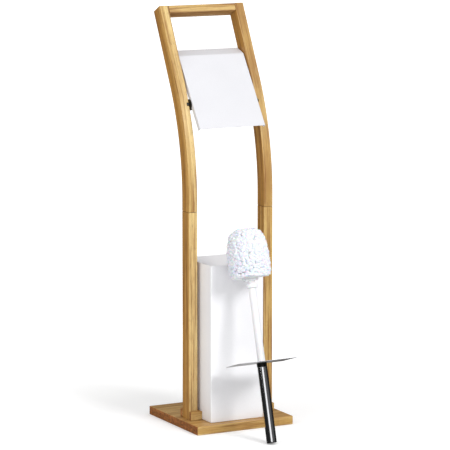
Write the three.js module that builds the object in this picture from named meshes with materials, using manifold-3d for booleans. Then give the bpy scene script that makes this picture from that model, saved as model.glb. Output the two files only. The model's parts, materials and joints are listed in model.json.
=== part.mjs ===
// Toilet brush holder: a bamboo stand that holds a square metal brush container between its
// posts, a paper roll on a sprung roller under a hinged metal cover, and a loose brush that
// stands head up in front and leans on the container.
// Millimetres, +Z up. Origin: centre of the base board's underside. +X is the user's right
// and -Y the front.

import * as THREE from "three";
import Module from "manifold-3d";
import { mergeVertices } from "three/addons/utils/BufferGeometryUtils.js";

// ---- driving dimensions -------------------------------------------------------------

const gap = 0.3; // left between two pieces that touch

// Base
const baseSize = 210;
const baseThickness = 17;
const baseBevel = 1;

// Posts: a straight lower half and an upper half that bends back
const innerSpan = 146; // between the posts
const postWidth = 19;
const postDepth = 29;
const postFront = -44; // y of the lower posts' front faces
const postJointHeight = 424;
const straightAboveJoint = 22.4;
const bendRadius = 510; // of the front face
const lean = THREE.MathUtils.degToRad(26.65);
const topLength = 154.6; // straight stretch above the bend
const bendSteps = 14;

// Foot blocks, each notched around a post
const blockHeight = 17;
const blockInnerWall = 5.4;
const blockFrontWall = 8;
const blockBackWall = 9;

// Dowels and screws of the wooden frame
const dowelRadius = 3;
const dowelSpacing = 14;
const dowelDepth = 14; // into each of the two pieces
const screwRadius = 2;
const screwHeadRadius = 4;
const screwHeadHeight = 2.2;
const screwHeadRecess = 0.5;
const screwSpacing = 13;
const screwBite = 26; // into the post
const screwTip = 4;

// Handle bar between the post tops
const barHeight = 15;

// Roll cover, a bent sheet with side flanges
const sheet = 1;
const coverClearance = 2; // to each post
const coverDrop = 103.7; // from the posts' tops down to the fold's sharp outer corner
const coverSetback = 6; // of that corner, behind the posts' front faces
const coverPlateTilt = THREE.MathUtils.degToRad(7.55); // plate from the posts' tops
const coverStripRise = THREE.MathUtils.degToRad(19.6); // top strip from the horizontal
const coverPlateLength = 160;
const coverStripLength = 25.7;
const coverFoldRadius = 6;
const flangeClearance = 0.8; // to the roller's pins
const earDepth = 13.5;
const earLength = 24; // down the plate
const flangeChamfer = 3;
const pivotInset = 7; // below the strip's outer face
const pivotFromEnd = 8.5;
const pivotRadius = 2;
const pivotHeadRadius = 3.4;
const pivotHeadHeight = 2;
const pivotBite = 12;
const washerRadius = 5;

// Sprung roller for the paper
const rollerBelowFold = 89.5;
const rollerTubeRadius = 11;
const rollerWall = 1;
const rollerSlack = 0.4; // between the two tubes
const rollerEndLip = 0.5; // of the end discs past the outer tube
const rollerEndThickness = 1.7;
const rollerSpigot = 10;
const rollerPinRadius = 3;
const rollerPinBite = 3; // past the post's inner face
const rollerStroke = 10;
const outerTubeEnd = 10; // x of the outer tube's open end
const tubeOverlap = 35;
const socketRadius = 10.5;
const socketStubRadius = 4.6;
const socketStubDepth = 5;
const springClearance = 1.8; // to the inner tube
const springWire = 0.8;
const springTurns = 8;
const springStepsPerTurn = 10;

// Container and the cup inside it
const containerSpare = 20.2; // room beside it, between the foot blocks
const containerHeight = 307.7;
const containerProud = 44.8; // of the posts' front faces
const containerWall = 1.2;
const containerCorner = 2.5;
const cupHeight = 90;
const cupWall = 1.5;
const cupClearance = 1;

// Brush: distances are along its axis from the end of the handle
const brushX = -10.9;
const brushTilt = THREE.MathUtils.degToRad(15.6);
const handleRadius = 9.7;
const handleWall = 0.8;
const endCapRim = 3;
const endCapRounding = 1.6;
const handleLength = 153.5; // up to the lid plate
const collarHeight = 8;
const plugDepth = 12;
const lidThickness = 1;
const lidMargin = 0.35; // inside the container's outer face
const lidCorner = 2;
const lidTurn = THREE.MathUtils.degToRad(-13.5);
const rodRadius = 7.4;
const studRadius = 4;
const studLength = 12;
const rodLength = 142.5; // from the lid plate to the neck
const neckRingRadius = 10.6;
const neckRingHeight = 8;
const neckHeight = 14;
const flangeRadius = 14.2;
const flangeThickness = 3.4;
const coreRadius = 20;
const bristleDepth = 22; // above the core
const bristlesAboveFlange = 2.1;
const bristlesHeight = 97.5;
const bristlesSkirt = 15.5; // from their lower edge to their widest
const bristlesRadius = 42.5;
const skirtTaper = 0.1; // of the radius, down to the lower edge
const domePower = 3; // how late the dome starts to close
const domeBluntness = 0.28; // less is blunter

const roundSides = 24;
const smallSides = 12;

// ---- sizes that follow ---------------------------------------------------------------

const postInner = innerSpan / 2;
const postOuter = postInner + postWidth;
const postMiddle = (postInner + postOuter) / 2;
const postCentre = postFront + postDepth / 2;
const postBack = postFront + postDepth;
const coverHalf = postInner - coverClearance;
const rollerEndRadius = rollerTubeRadius + rollerEndLip;
const rollerFromFace = sheet + gap + rollerEndRadius; // its axis, behind the cover's face
const flangeDepth = rollerFromFace - rollerPinRadius - flangeClearance;
const innerTubeRadius = rollerTubeRadius - rollerWall - rollerSlack;
const springRadius = innerTubeRadius - rollerWall - springClearance - springWire;
const coverPlateLean = lean + coverPlateTilt;
const containerSize = 2 * (postInner - blockInnerWall) - gap - containerSpare;
const containerFront = postFront - containerProud;
const lidSize = containerSize - 2 * lidMargin;
const lidTop = handleLength + lidThickness;
const neckFrom = lidTop + rodLength;
const flangeFrom = neckFrom + neckHeight;
const flangeTop = flangeFrom + flangeThickness;
const bristlesFrom = flangeTop + bristlesAboveFlange;
const bristlesWidest = bristlesFrom + bristlesSkirt;
const bristlesTop = bristlesFrom + bristlesHeight;

// ---- tools for solids ------------------------------------------------------------------

const wasm = await Module();
wasm.setup();

function signedVolume(geometry) {
  const place = geometry.getAttribute("position");
  const index = geometry.getIndex();
  const a = new THREE.Vector3();
  const b = new THREE.Vector3();
  const c = new THREE.Vector3();
  let total = 0;
  for (let i = 0; i < index.count; i += 3) {
    a.fromBufferAttribute(place, index.getX(i));
    b.fromBufferAttribute(place, index.getX(i + 1));
    c.fromBufferAttribute(place, index.getX(i + 2));
    total += a.dot(b.cross(c)) / 6;
  }
  return total;
}

// Merges shared corners and turns the faces outwards.
function closed(geometry) {
  const bare = geometry.clone();
  bare.deleteAttribute("normal");
  bare.deleteAttribute("uv");
  const merged = mergeVertices(bare, 1e-4);
  const kept = [];
  const index = merged.getIndex().array;
  for (let i = 0; i < index.length; i += 3) {
    const [a, b, c] = [index[i], index[i + 1], index[i + 2]];
    if (a !== b && b !== c && c !== a) kept.push(a, b, c);
  }
  merged.setIndex(kept);
  if (signedVolume(merged) < 0) {
    const turned = [];
    for (let i = 0; i < kept.length; i += 3) turned.push(kept[i], kept[i + 2], kept[i + 1]);
    merged.setIndex(turned);
  }
  return merged;
}

function solidOf(geometry) {
  const body = closed(geometry);
  const vertProperties = new Float32Array(body.getAttribute("position").array);
  const triVerts = new Uint32Array(body.getIndex().array);
  return new wasm.Manifold(new wasm.Mesh({ numProp: 3, vertProperties, triVerts }));
}

function geometryOf(solid) {
  const { vertProperties, triVerts } = solid.getMesh();
  const geometry = new THREE.BufferGeometry();
  geometry.setAttribute("position", new THREE.BufferAttribute(vertProperties, 3));
  geometry.setIndex(new THREE.BufferAttribute(triVerts, 1));
  return geometry;
}

function cut(blank, ...tools) {
  return geometryOf(tools.reduce((rest, tool) => rest.subtract(solidOf(tool)), solidOf(blank)));
}

function join(first, ...others) {
  return geometryOf(others.reduce((sum, other) => sum.add(solidOf(other)), solidOf(first)));
}

// ---- tools for shapes --------------------------------------------------------------------

function block([x0, x1], [y0, y1], [z0, z1]) {
  const box = new THREE.BoxGeometry(x1 - x0, y1 - y0, z1 - z0);
  return box.translate((x0 + x1) / 2, (y0 + y1) / 2, (z0 + z1) / 2);
}

// A turned piece: a profile of [radius, height] points that starts and ends on the axis, or
// closes on itself, spun around Z.
function turned(profile, sides = roundSides) {
  const points = profile.map(([radius, height]) => new THREE.Vector2(radius, height));
  return new THREE.LatheGeometry(points, sides).rotateX(Math.PI / 2);
}

// A ring closes its profile on itself.
function ring(profile, sides = roundSides) {
  return turned([...profile, profile[0]], sides);
}

function pin(radius, from, to, sides = smallSides) {
  return turned([[0, from], [radius, from], [radius, to], [0, to]], sides);
}

// Lays a piece that was turned around Z along +X, at a given y and z.
function alongX(geometry, y = 0, z = 0) {
  return geometry.rotateY(Math.PI / 2).translate(0, y, z);
}

// Extrudes an outline of [y, z] points along X.
function acrossX(outline, x0, x1) {
  const shape = new THREE.Shape(outline.map(([y, z]) => new THREE.Vector2(y, z)));
  const solid = new THREE.ExtrudeGeometry(shape, { depth: x1 - x0, bevelEnabled: false });
  const turn = new THREE.Matrix4().makeBasis(
    new THREE.Vector3(0, 1, 0),
    new THREE.Vector3(0, 0, 1),
    new THREE.Vector3(1, 0, 0),
  );
  return solid.applyMatrix4(turn).translate(x0, 0, 0);
}

function roundedSquare(size, corner) {
  const half = size / 2;
  const inner = half - corner;
  const shape = new THREE.Shape();
  shape.moveTo(-inner, -half);
  shape.absarc(inner, -inner, corner, -Math.PI / 2, 0);
  shape.absarc(inner, inner, corner, 0, Math.PI / 2);
  shape.absarc(-inner, inner, corner, Math.PI / 2, Math.PI);
  shape.absarc(-inner, -inner, corner, Math.PI, 1.5 * Math.PI);
  return shape;
}

function prism(shape, z0, z1) {
  const options = { depth: z1 - z0, bevelEnabled: false, curveSegments: 3 };
  return new THREE.ExtrudeGeometry(shape, options).translate(0, 0, z0);
}

// A copy mirrored to the other side of the YZ plane.
function mirrored(geometry) {
  return closed(geometry.clone().scale(-1, 1, 1));
}

// ---- finishes ------------------------------------------------------------------------------

function finish(color, roughness, metalness = 0) {
  return () => new THREE.MeshStandardMaterial({ color, roughness, metalness });
}

const bamboo = finish("#d7b27b", 0.5);
const bambooDowel = finish("#cfa66b", 0.7);
const whiteSteel = finish("#f1f0f4", 0.45);
const whitePlastic = finish("#f2f1f2", 0.4);
const blackPlastic = finish("#1c1a1a", 0.5);
const chrome = finish("#d8dadd", 0.12, 1);
const zincSteel = finish("#b9bbbe", 0.35, 1);
const stainlessSteel = finish("#b4b5b8", 0.3, 1);
const bristleNylon = finish("#f0f0f6", 0.75);

const holder = new THREE.Group();

function add(name, geometry, material, parent = holder) {
  const mesh = new THREE.Mesh(closed(geometry), material());
  mesh.name = name;
  parent.add(mesh);
  return mesh;
}

function addPair(name, geometry, material) {
  add(`right_${name}`, geometry, material);
  add(`left_${name}`, mirrored(geometry), material);
}

// ---- base ------------------------------------------------------------------------------------

const screwTop = baseThickness + screwBite;
const screwPlaces = [-1, 1].map((side) => postCentre + (side * screwSpacing) / 2);

function baseScrew() {
  const headTop = screwHeadRecess + screwHeadHeight;
  return turned([
    [0, screwHeadRecess],
    [screwHeadRadius, screwHeadRecess],
    [screwRadius, headTop],
    [screwRadius, screwTop - screwTip],
    [0, screwTop],
  ], smallSides);
}

function baseScrewHole() {
  return turned([
    [0, -1],
    [screwHeadRadius + gap, -1],
    [screwHeadRadius + gap, screwHeadRecess],
    [screwRadius + gap, screwHeadRecess + screwHeadHeight],
    [screwRadius + gap, screwTop + gap],
    [0, screwTop + gap],
  ], smallSides);
}

function screwHoles(sides) {
  return sides.flatMap((side) =>
    screwPlaces.map((y) => baseScrewHole().translate(side * postMiddle, y, 0)));
}

function makeBase() {
  const half = baseSize / 2 - baseBevel;
  const outline = new THREE.Shape([
    new THREE.Vector2(-half, -half),
    new THREE.Vector2(half, -half),
    new THREE.Vector2(half, half),
    new THREE.Vector2(-half, half),
  ]);
  const board = new THREE.ExtrudeGeometry(outline, {
    depth: baseThickness - 2 * baseBevel,
    bevelSize: baseBevel,
    bevelThickness: baseBevel,
    bevelSegments: 1,
  }).translate(0, 0, baseBevel);
  add("base_board", cut(board, ...screwHoles([-1, 1])), bamboo);
  let number = 1;
  for (const x of [-postMiddle, postMiddle]) {
    for (const y of screwPlaces) {
      add(`base_screw_${number}`, baseScrew().translate(x, y, 0), zincSteel);
      number += 1;
    }
  }
}

function makeFootBlocks() {
  const from = baseThickness + gap;
  const to = baseThickness + blockHeight;
  const whole = block(
    [postInner - blockInnerWall, postOuter],
    [postFront - blockFrontWall, postBack + blockBackWall],
    [from, to],
  );
  const notch = block(
    [postInner - gap, postOuter + 1],
    [postFront - gap, postBack + gap],
    [from - 1, to + 1],
  );
  addPair("foot_block", cut(whole, notch), bamboo);
}

// ---- posts -----------------------------------------------------------------------------------

const along = [Math.sin(lean), Math.cos(lean)]; // y and z up the leaning stretch
const across = [Math.cos(lean), -Math.sin(lean)]; // y and z from its front to its back
const bendCentre = [postFront + bendRadius, postJointHeight + straightAboveJoint];
const topFront = [
  bendCentre[0] - bendRadius * Math.cos(lean) + topLength * along[0],
  bendCentre[1] + bendRadius * Math.sin(lean) + topLength * along[1],
];

function offset([y, z], ...moves) {
  return moves.reduce(([py, pz], [way, length]) =>
    [py + way[0] * length, pz + way[1] * length], [y, z]);
}

function bendPoints(radius) {
  const points = [];
  for (let step = 0; step <= bendSteps; step += 1) {
    const angle = (lean * step) / bendSteps;
    points.push([
      bendCentre[0] - radius * Math.cos(angle),
      bendCentre[1] + radius * Math.sin(angle),
    ]);
  }
  return points;
}

const dowelPlaces = [-1, 1].map((side) => (side * dowelSpacing) / 2);
const barMiddle = offset(topFront, [along, -barHeight / 2], [across, postDepth / 2]);
const handleDowelPlaces = dowelPlaces.map((reach) => offset(barMiddle, [across, reach]));

function postDowel(radius, reach, y) {
  const low = postJointHeight - reach;
  const high = postJointHeight + reach;
  return pin(radius, low, high).translate(postMiddle, postCentre + y, 0);
}

function handleDowel(radius, reach, [y, z]) {
  return alongX(pin(radius, postInner - reach, postInner + reach), y, z);
}

function makePosts() {
  const reach = dowelDepth + gap;
  const postHoles = dowelPlaces.map((y) => postDowel(dowelRadius + gap, reach, y));
  const lower = block(
    [postInner, postOuter],
    [postFront, postBack],
    [baseThickness + gap, postJointHeight],
  );
  addPair("lower_post", cut(lower, ...screwHoles([1]), ...postHoles), bamboo);

  const outline = [
    [postBack, postJointHeight + gap],
    [postFront, postJointHeight + gap],
    ...bendPoints(bendRadius),
    topFront,
    offset(topFront, [across, postDepth]),
    ...bendPoints(bendRadius - postDepth).reverse(),
  ];
  const upper = acrossX(outline, postInner, postOuter);
  const handleHoles = handleDowelPlaces.map((place) => handleDowel(dowelRadius + gap, reach, place));
  const bite = postInner + pivotBite + gap;
  const pivotHole = alongX(pin(pivotRadius + gap, postInner - 1, bite), ...pivot);
  const socketEnd = postInner + socketStubDepth + gap;
  const socketHole = alongX(pin(socketStubRadius + gap, postInner - 1, socketEnd), ...rollerAxis);
  addPair("upper_post", cut(upper, ...postHoles, ...handleHoles, pivotHole, socketHole), bamboo);

  dowelPlaces.forEach((y, number) =>
    addPair(`post_dowel_${number + 1}`, postDowel(dowelRadius, dowelDepth, y), bambooDowel));
  handleDowelPlaces.forEach((place, number) => {
    const dowel = handleDowel(dowelRadius, dowelDepth, place);
    addPair(`handle_dowel_${number + 1}`, dowel, bambooDowel);
  });
}

function makeHandleBar() {
  const outline = [
    topFront,
    offset(topFront, [along, -barHeight]),
    offset(topFront, [along, -barHeight], [across, postDepth]),
    offset(topFront, [across, postDepth]),
  ];
  const bar = acrossX(outline, -postInner + gap, postInner - gap);
  const holes = handleDowelPlaces.map((place) =>
    handleDowel(dowelRadius + gap, dowelDepth + gap, place));
  add("handle_bar", cut(bar, ...holes, ...holes.map(mirrored)), bamboo);
}

// ---- roll cover --------------------------------------------------------------------------------

const upPlate = [Math.sin(coverPlateLean), Math.cos(coverPlateLean)];
const intoPlate = [Math.cos(coverPlateLean), -Math.sin(coverPlateLean)];
const backStrip = [Math.cos(coverStripRise), Math.sin(coverStripRise)];
const intoStrip = [Math.sin(coverStripRise), -Math.cos(coverStripRise)];
const coverFold = offset(topFront, [along, -coverDrop], [across, coverSetback]);
const stripEnd = offset(coverFold, [backStrip, coverStripLength]);
const plateEnd = offset(coverFold, [upPlate, -coverPlateLength]);
const pivot = offset(stripEnd, [backStrip, -pivotFromEnd], [intoStrip, pivotInset]);

// The sheet's side line at a depth under its outer face, from the plate's end to the strip's.
function coverLine(depth) {
  const turn = Math.PI / 2 - coverPlateLean - coverStripRise;
  const tangent = coverFoldRadius * Math.tan(turn / 2);
  const centre = offset(coverFold, [upPlate, -tangent], [intoPlate, coverFoldRadius]);
  const bend = [0, 1, 2, 3, 4].map((step) => {
    const angle = coverPlateLean + (turn * step) / 4;
    return offset(centre, [[Math.cos(angle), -Math.sin(angle)], depth - coverFoldRadius]);
  });
  return [offset(plateEnd, [intoPlate, depth]), ...bend, offset(stripEnd, [intoStrip, depth])];
}

function makeCover() {
  const face = [...coverLine(0), ...coverLine(sheet).reverse()];
  const plate = acrossX(face, -coverHalf, coverHalf);
  const side = [
    ...coverLine(0),
    offset(stripEnd, [intoStrip, earDepth - flangeChamfer]),
    offset(stripEnd, [intoStrip, earDepth], [backStrip, -flangeChamfer]),
    offset(coverFold, [upPlate, -earLength], [intoPlate, flangeDepth]),
    offset(plateEnd, [upPlate, flangeChamfer], [intoPlate, flangeDepth]),
    offset(plateEnd, [intoPlate, flangeDepth - flangeChamfer]),
  ];
  const hole = alongX(pin(pivotRadius + gap, 0, postInner), ...pivot);
  const flange = cut(acrossX(side, coverHalf - sheet, coverHalf), hole);
  add("roll_cover", join(plate, flange, mirrored(flange)), whiteSteel);

  const headTo = coverHalf - sheet - gap;
  const screw = alongX(turned([
    [0, headTo - pivotHeadHeight],
    [pivotHeadRadius * 0.7, headTo - pivotHeadHeight],
    [pivotHeadRadius, headTo - pivotHeadHeight / 2],
    [pivotHeadRadius, headTo],
    [pivotRadius, headTo],
    [pivotRadius, postInner + pivotBite],
    [0, postInner + pivotBite],
  ], smallSides), ...pivot);
  addPair("cover_screw", screw, zincSteel);
  const washer = alongX(ring([
    [pivotRadius + gap, coverHalf + gap],
    [washerRadius, coverHalf + gap],
    [washerRadius, postInner - gap],
    [pivotRadius + gap, postInner - gap],
  ], smallSides), ...pivot);
  addPair("cover_washer", washer, whitePlastic);
}

// ---- roller --------------------------------------------------------------------------------------

// The cover rests on the roller's end discs.
const rollerAxis = [
  coverFold[0] + (rollerFromFace + rollerBelowFold * intoPlate[1]) / intoPlate[0],
  coverFold[1] - rollerBelowFold,
];

function rollerEnd(spigotRadius) {
  const discTo = coverHalf - sheet - gap;
  const discFrom = discTo - rollerEndThickness;
  return turned([
    [0, discFrom - rollerSpigot],
    [spigotRadius, discFrom - rollerSpigot],
    [spigotRadius, discFrom],
    [rollerEndRadius, discFrom],
    [rollerEndRadius, discTo],
    [rollerPinRadius, discTo],
    [rollerPinRadius, postInner + rollerPinBite],
    [0, postInner + rollerPinBite],
  ]);
}

function tube(radius, wall, from, to) {
  return ring([[radius - wall, from], [radius, from], [radius, to], [radius - wall, to]]);
}

class Helix extends THREE.Curve {
  constructor(radius, turns, from, to) {
    super();
    Object.assign(this, { radius, turns, from, to });
  }

  getPoint(t, target = new THREE.Vector3()) {
    const angle = t * this.turns * 2 * Math.PI;
    const height = THREE.MathUtils.lerp(this.from, this.to, t);
    return target.set(this.radius * Math.cos(angle), this.radius * Math.sin(angle), height);
  }
}

function makeRoller() {
  const discFrom = coverHalf - sheet - gap - rollerEndThickness;
  const outerSpigot = rollerTubeRadius - rollerWall - gap;
  const innerSpigot = innerTubeRadius - rollerWall - gap;
  const place = (geometry) => alongX(geometry, ...rollerAxis);
  const tubeFrom = discFrom - gap;
  const outer = tube(rollerTubeRadius, rollerWall, -tubeFrom, outerTubeEnd);
  add("roller_outer_tube", place(outer), chrome);
  const inner = tube(innerTubeRadius, rollerWall, outerTubeEnd - tubeOverlap, tubeFrom);
  add("roller_inner_tube", place(inner), chrome);
  add("roller_end_right", place(rollerEnd(innerSpigot)), blackPlastic);
  add("roller_end_left", mirrored(place(rollerEnd(outerSpigot))), blackPlastic);

  const springReach = discFrom - rollerSpigot - gap - springWire;
  const path = new Helix(springRadius, springTurns, -springReach, springReach);
  const wire = new THREE.Shape();
  wire.absarc(0, 0, springWire, 0, 2 * Math.PI);
  const spring = new THREE.ExtrudeGeometry(wire, {
    steps: springTurns * springStepsPerTurn,
    curveSegments: 3,
    extrudePath: path,
  });
  add("roller_spring", place(spring), zincSteel);

  const socket = place(turned([
    [0, postInner + socketStubDepth],
    [socketStubRadius, postInner + socketStubDepth],
    [socketStubRadius, postInner - gap],
    [socketRadius, postInner - gap],
    [socketRadius, coverHalf + gap],
    [rollerPinRadius + gap, coverHalf + gap],
    [rollerPinRadius + gap, postInner + rollerPinBite + gap],
    [0, postInner + rollerPinBite + gap],
  ]));
  addPair("roller_socket", socket, blackPlastic);
}

// ---- container and cup --------------------------------------------------------------------------

// The container stands against the left foot block.
const containerX = -postInner + blockInnerWall + gap + containerSize / 2;
const containerY = containerFront + containerSize / 2;

function openBox(size, corner, wall, from, to) {
  const outside = prism(roundedSquare(size, corner), from, to);
  const inside = prism(roundedSquare(size - 2 * wall, corner - wall), from + wall, to + 1);
  return cut(outside, inside).translate(containerX, containerY, 0);
}

function makeContainer() {
  const from = baseThickness + gap;
  const top = from + containerHeight;
  const box = openBox(containerSize, containerCorner, containerWall, from, top);
  add("container", box, whiteSteel);
  const cupFrom = from + containerWall + gap;
  const cupSize = containerSize - 2 * (containerWall + cupClearance);
  const cup = openBox(cupSize, containerCorner, cupWall, cupFrom, cupFrom + cupHeight);
  add("drip_cup", cup, whitePlastic);
}

// ---- brush ---------------------------------------------------------------------------------------

function bristleRadius(s) {
  if (s < bristlesWidest) {
    const part = (bristlesWidest - s) / (bristlesWidest - bristlesFrom);
    return bristlesRadius * (1 - skirtTaper * part ** 2);
  }
  const part = (s - bristlesWidest) / (bristlesTop - bristlesWidest);
  return bristlesRadius * (1 - part ** domePower) ** domeBluntness;
}

function bristleProfile() {
  const low = [];
  const high = [];
  const lowDepth = bristlesWidest - bristlesFrom;
  const highDepth = bristlesTop - bristlesWidest;
  for (const part of [1, 0.85, 0.6, 0.3]) {
    const s = bristlesWidest - lowDepth * part;
    low.push([bristleRadius(s), s]);
  }
  for (const part of [0, 0.3, 0.5, 0.67, 0.8, 0.9, 0.96, 0.99]) {
    const s = bristlesWidest + highDepth * part;
    high.push([bristleRadius(s), s]);
  }
  return [...low, ...high, [0, bristlesTop]];
}

function coreProfile(extra) {
  const from = flangeTop + gap;
  const coreTop = bristlesTop - bristleDepth;
  const height = coreTop - from;
  const points = [];
  for (const part of [0, 0.12, 0.3, 0.5, 0.7, 0.86, 0.95]) {
    const radius = coreRadius * Math.sqrt(1 - (2 * Math.max(part, 0.15) - 1) ** 2 * 0.9);
    points.push([radius * (part > 0.9 ? 0.8 : 1) + extra, from + height * part]);
  }
  return [...points, [0, coreTop + extra]];
}

// How far a turned profile of the brush reaches along a direction, given as the parts of that
// direction that lie across and along the brush's axis.
function reachOf(profile, [acrossAxis, alongAxis]) {
  return Math.max(...profile.map(([radius, s]) => radius * acrossAxis + s * alongAxis));
}

function makeBrush() {
  const endCap = [
    [0, 0],
    [handleRadius - endCapRounding, 0],
    [handleRadius - 0.3 * endCapRounding, 0.3 * endCapRounding],
    [handleRadius, endCapRounding],
    [handleRadius, endCapRim],
    [handleRadius - handleWall - gap, endCapRim],
    [handleRadius - handleWall - gap, endCapRim + plugDepth],
    [0, endCapRim + plugDepth],
  ];
  const dome = bristleProfile();
  const sine = Math.sin(brushTilt);
  const cosine = Math.cos(brushTilt);
  const rise = reachOf(endCap, [sine, -cosine]);
  const brush = new THREE.Group();
  const back = reachOf(dome, [cosine, sine]);
  brush.position.set(brushX, containerFront - gap - back, rise);
  brush.rotation.x = -brushTilt;
  holder.add(brush);

  add("handle_end_cap", turned(endCap), chrome, brush);
  const collarFrom = handleLength - collarHeight;
  const tubeTo = collarFrom - gap;
  add("handle_tube", tube(handleRadius, handleWall, endCapRim + gap, tubeTo), chrome, brush);
  const studFrom = handleLength - studLength;
  const boreRadius = studRadius + gap;
  const collar = turned([
    [0, collarFrom - plugDepth],
    [handleRadius - handleWall - gap, collarFrom - plugDepth],
    [handleRadius - handleWall - gap, collarFrom],
    [handleRadius, collarFrom],
    [handleRadius, handleLength - gap],
    [boreRadius, handleLength - gap],
    [boreRadius, studFrom - gap],
    [0, studFrom - gap],
  ]);
  add("handle_collar", collar, blackPlastic, brush);

  const lidHole = pin(boreRadius, handleLength - 1, lidTop + 1, roundSides);
  const lid = cut(prism(roundedSquare(lidSize, lidCorner), handleLength, lidTop), lidHole);
  add("lid_plate", lid, stainlessSteel, brush).rotation.z = lidTurn;

  const rod = turned([
    [0, studFrom],
    [studRadius, studFrom],
    [studRadius, lidTop + gap],
    [rodRadius, lidTop + gap],
    [rodRadius, neckFrom - gap],
    [studRadius, neckFrom - gap],
    [studRadius, neckFrom + studLength],
    [0, neckFrom + studLength],
  ]);
  add("brush_rod", rod, whitePlastic, brush);
  const neck = turned([
    [0, neckFrom + studLength + gap],
    [boreRadius, neckFrom + studLength + gap],
    [boreRadius, neckFrom],
    [neckRingRadius, neckFrom],
    [neckRingRadius, neckFrom + neckRingHeight],
    [rodRadius, neckFrom + neckRingHeight],
    [rodRadius, flangeFrom],
    [flangeRadius, flangeFrom],
    [flangeRadius, flangeTop],
    [0, flangeTop],
  ]);
  add("brush_flange", neck, whitePlastic, brush);
  add("bristle_core", turned([[0, flangeTop + gap], ...coreProfile(0)]), whitePlastic, brush);
  const hollow = turned([[0, flangeTop], [coreProfile(gap)[0][0], flangeTop], ...coreProfile(gap)]);
  const head = turned([[0, bristlesFrom], ...dome]);
  add("bristles", cut(head, hollow), bristleNylon, brush);
}

makeBase();
makeFootBlocks();
makePosts();
makeHandleBar();
makeCover();
makeRoller();
makeContainer();
makeBrush();

export default holder;
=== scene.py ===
import json
import math
import random

import bmesh
import bpy
from mathutils import Matrix, Vector, noise


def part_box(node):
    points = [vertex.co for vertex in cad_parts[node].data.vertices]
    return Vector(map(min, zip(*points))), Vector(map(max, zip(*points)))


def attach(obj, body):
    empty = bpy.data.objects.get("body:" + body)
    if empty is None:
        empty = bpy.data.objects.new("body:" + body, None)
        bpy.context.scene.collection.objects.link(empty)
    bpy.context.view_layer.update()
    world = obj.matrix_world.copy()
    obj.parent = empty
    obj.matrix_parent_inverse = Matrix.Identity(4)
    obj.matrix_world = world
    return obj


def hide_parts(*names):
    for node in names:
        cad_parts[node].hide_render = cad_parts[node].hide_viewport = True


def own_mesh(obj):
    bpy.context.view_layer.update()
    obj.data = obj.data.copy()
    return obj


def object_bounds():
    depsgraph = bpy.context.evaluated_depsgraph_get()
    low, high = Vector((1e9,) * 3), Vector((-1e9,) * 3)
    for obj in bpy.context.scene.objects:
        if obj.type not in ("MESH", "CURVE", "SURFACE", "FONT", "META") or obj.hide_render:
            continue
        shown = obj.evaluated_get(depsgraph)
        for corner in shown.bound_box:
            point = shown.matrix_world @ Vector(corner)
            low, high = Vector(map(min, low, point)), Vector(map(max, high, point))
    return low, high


# A bamboo toilet brush stand with a square steel container, a loose brush that stands in
# front of it, and a paper roller under a hinged steel cover. Metres, +Z up, -Y to the front.

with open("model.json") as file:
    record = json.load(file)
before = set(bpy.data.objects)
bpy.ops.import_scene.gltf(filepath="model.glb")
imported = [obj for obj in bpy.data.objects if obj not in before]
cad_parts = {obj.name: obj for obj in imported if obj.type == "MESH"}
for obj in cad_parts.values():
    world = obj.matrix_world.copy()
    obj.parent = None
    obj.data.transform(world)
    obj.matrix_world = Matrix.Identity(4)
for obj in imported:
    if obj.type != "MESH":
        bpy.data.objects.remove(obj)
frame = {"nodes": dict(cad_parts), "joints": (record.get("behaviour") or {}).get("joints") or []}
cad_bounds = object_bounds()

MM = 0.001

# ---- sizes that the frame doesn't give ------------------------------------------------------

lean = math.radians(26.65)            # of the posts' tops
bend_radius = 510 * MM                # of the posts' front faces
straight_above_joint = 22.4 * MM
top_length = 154.6 * MM
bar_height = 15 * MM
room = 0.3 * MM                       # between two pieces that touch
hair = 0.01 * MM                      # that two levels may differ by and still be one
speck = 1e-6                          # the same, for two corners of one piece
sharp = 0.5                           # turn between two faces, in radians, of a sharp edge
nearly_square = 1.2                   # the same, of an edge near a right angle

plate_lean = lean + math.radians(7.55)
strip_rise = math.radians(19.6)
cover_drop = 103.7 * MM               # from the posts' tops to the cover's fold
cover_setback = 6 * MM
plate_length = 160 * MM
strip_length = 25.7 * MM
fold_radius = 6 * MM
flange_depth = 9 * MM
ear_depth = 13.5 * MM
ear_length = 24 * MM
cover_corner = 3 * MM
flange_bend = 1.3 * MM                # radius of the bends between the plate and its flanges
sheet = 1 * MM
pivot_radius = 2 * MM
pivot_hole = 2.3 * MM

roller_radius = 11 * MM               # of the outer tube
sleeve_radius = 9.6 * MM              # of the inner tube
roller_wall = 1 * MM
end_disc_radius = 11.5 * MM
end_disc_height = 1.7 * MM
pin_radius = 3 * MM
socket_radius = 10.5 * MM
socket_stub_radius = 4.6 * MM
socket_stub_length = 5 * MM           # into the post
socket_bore_radius = 3.3 * MM
socket_bore_depth = 3.3 * MM          # into the post
spring_wire = 0.8 * MM                # its radius
spring_turns = 8

pinch = 0.2 * MM                      # ring radius that closes a turned piece's end
brush_tilt = math.radians(15.6)
handle_radius = 9.7 * MM
handle_wall = 0.8 * MM
lid_turn = math.radians(-13.5)
lid_half = 57 * MM
lid_corner = 2 * MM
stud_radius = 4 * MM                  # of the threaded ends that join the brush's pieces
stud_length = 12 * MM
stud_bore = 4.3 * MM

# ---- camera, light and floor ----------------------------------------------------------------


def aim(thing, at):
    """Turns a camera or lamp to look at a point."""
    thing.rotation_euler = (Vector(at) - thing.location).to_track_quat("-Z", "Y").to_euler()


def around(azimuth, elevation, distance, centre):
    """The point at an azimuth and elevation in degrees round a centre; azimuth 0 is in front."""
    turn, rise = math.radians(azimuth), math.radians(elevation)
    flat = distance * math.cos(rise)
    return Vector(centre) + Vector(
        (flat * math.sin(turn), -flat * math.cos(turn), distance * math.sin(rise)))


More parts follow.
